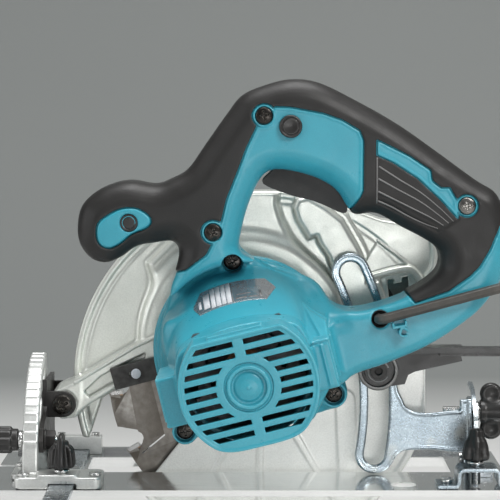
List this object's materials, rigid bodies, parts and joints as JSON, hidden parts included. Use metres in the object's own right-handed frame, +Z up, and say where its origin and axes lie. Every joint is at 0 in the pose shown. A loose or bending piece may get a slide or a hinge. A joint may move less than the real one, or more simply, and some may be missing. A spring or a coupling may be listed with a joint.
{
  "type": "hand-held circular saw",
  "caption": "Corded hand-held circular saw with a front-hinged plunge body, bevel brackets, retractable lower guard, slotted depth guide and rip fence.",
  "frame": {"origin": "on the underside of the sole, in the blade plane, straight below the arbor with the depth of cut at its rest setting", "axes": "+X towards the rear along the cut, +Y away from the motor, +Z up, blade axis along Y"},
  "size_m": [0.3581, 0.237, 0.2837],
  "materials": {
    "teal_plastic": "fine moulded texture",
    "grip_rubber": "matte overmould",
    "black_plastic": "glass-filled, satin",
    "magnesium": "clear-coated casting",
    "guard_aluminium": "satin casting",
    "sole_aluminium": "polished sheet",
    "cast_aluminium": "fine blasted casting",
    "zinc_steel": "bright zinc plate",
    "black_steel": "black oxide",
    "blade_steel": "ground and clear-lacquered",
    "steel": "machined",
    "copper": "turned",
    "core_steel": "laminated",
    "plate": "satin foil"
  },
  "bodies": {
    "sole": {"sole_plate": "sole_aluminium", "front_quadrant": "cast_aluminium", "rear_quadrant": "zinc_steel", "bevel_pivots": "steel", "rear_rule_bracket": "zinc_steel", "far_rule_holder": "cast_aluminium", "sole_screws": "steel"},
    "bevel_frame": {"front_angle_plate": "black_steel", "hinge_pin": "steel", "depth_guide": "zinc_steel", "front_bevel_nut": "black_steel"},
    "saw_body": {"blade_case": "magnesium", "gear_housing": "magnesium", "bearing_retainer": "cast_aluminium", "spindle_bearings": "steel", "guard_stop": "grip_rubber", "case_screws": "black_steel", "motor_housing": "teal_plastic", "motor_cap": "teal_plastic", "stator": "core_steel", "motor_bearings": "steel", "brush_caps": "teal_plastic", "carbon_brushes": "core_steel", "handle_cover": "teal_plastic", "grip_rubber_near": "grip_rubber", "grip_rubber_far": "grip_rubber", "knob_inset": "teal_plastic", "nameplate": "plate", "housing_screws": "black_steel", "handle_screws": "black_steel", "power_switch": "black_plastic", "cord_guard": "grip_rubber", "power_cord": "grip_rubber", "depth_bolt": "steel", "key_clip": "teal_plastic", "shaft_lock_screw": "steel", "guard_spring": "steel"},
    "arbor": {"spindle": "steel", "spindle_gear": "steel", "inner_flange": "steel", "blade": "blade_steel", "outer_flange": "steel", "blade_bolt": "steel"},
    "armature": {"armature_shaft": "steel", "armature_core": "core_steel", "commutator": "copper", "fan": "black_plastic"},
    "guard": {"lower_guard": "guard_aluminium"},
    "trigger": {"trigger": "black_plastic"},
    "lock_off": {"lock_off_button": "black_plastic"},
    "depth_lever": {"depth_lever": "black_plastic"},
    "hex_key": {"hex_key": "black_steel"},
    "shaft_lock": {"shaft_lock": "black_steel"},
    "front_bevel_knob": {"front_bevel_knob": "black_plastic"},
    "rear_bevel_knob": {"rear_bevel_knob": "black_plastic"},
    "front_rule_knob": {"front_rule_knob": "black_plastic"},
    "rear_rule_knob": {"rear_rule_knob": "black_plastic"},
    "rip_fence": {"rip_fence": "zinc_steel"}
  },
  "joints": [
    {"name": "bevel_tilt", "type": "hinge", "parent": "sole", "child": "bevel_frame", "pos_m": [0, 0, 0.008], "axis": [-1, 0, 0], "range_deg": [0, 45]},
    {"name": "depth_pivot", "type": "hinge", "parent": "bevel_frame", "child": "saw_body", "pos_m": [-0.1197, 0, 0.047], "axis": [0, -1, 0], "range_deg": [-14, 18]},
    {"name": "blade_spin", "type": "hinge", "parent": "saw_body", "child": "arbor", "pos_m": [0, 0, 0.0583], "axis": [0, 1, 0], "continuous": true},
    {"name": "armature_spin", "type": "hinge", "parent": "saw_body", "child": "armature", "pos_m": [-0.0102, 0, 0.0822], "axis": [0, 1, 0], "continuous": true},
    {"name": "guard_swing", "type": "hinge", "parent": "saw_body", "child": "guard", "pos_m": [0, 0, 0.0583], "axis": [0, -1, 0], "range_deg": [0, 110]},
    {"name": "trigger_squeeze", "type": "hinge", "parent": "saw_body", "child": "trigger", "pos_m": [0.002, -0.072, 0.186], "axis": [0, -1, 0], "range_deg": [0, 7]},
    {"name": "lock_off_press", "type": "slide", "parent": "saw_body", "child": "lock_off", "axis": [0, 1, 0], "range_m": [0, 0.004]},
    {"name": "depth_lock_turn", "type": "hinge", "parent": "saw_body", "child": "depth_lever", "pos_m": [0.06809, 0, 0.06839], "axis": [0, -1, 0], "range_deg": [0, 25]},
    {"name": "shaft_lock_slide", "type": "slide", "parent": "saw_body", "child": "shaft_lock", "axis": [0.9659, 0, 0.2588], "range_m": [0, 0.002]},
    {"name": "hex_key_pull", "type": "slide", "parent": "saw_body", "child": "hex_key", "axis": [0, -1, 0], "range_m": [0, 0.02]},
    {"name": "front_bevel_knob_turn", "type": "hinge", "parent": "bevel_frame", "child": "front_bevel_knob", "pos_m": [-0.15, -0.055, 0.0289], "axis": [-1, 0, 0], "range_deg": [-90, 360]},
    {"name": "rear_bevel_knob_turn", "type": "hinge", "parent": "bevel_frame", "child": "rear_bevel_knob", "pos_m": [0.13, -0.025, 0.0414], "axis": [1, 0, 0], "range_deg": [-90, 360]},
    {"name": "front_rule_knob_turn", "type": "hinge", "parent": "sole", "child": "front_rule_knob", "pos_m": [-0.1177, -0.0707, 0.02], "axis": [0, 0, 1], "range_deg": [-90, 360]},
    {"name": "rear_rule_knob_turn", "type": "hinge", "parent": "sole", "child": "rear_rule_knob", "pos_m": [0.124, -0.066, 0.02], "axis": [0, 0, 1], "range_deg": [-90, 360]},
    {"name": "rip_fence_slide", "type": "slide", "parent": "sole", "child": "rip_fence", "axis": [0, -1, 0], "range_m": [0, 0.08]}
  ],
  "couplings": [
    {"joint": "armature_spin", "follows": "blade_spin", "ratio": -4.7778}
  ]
}
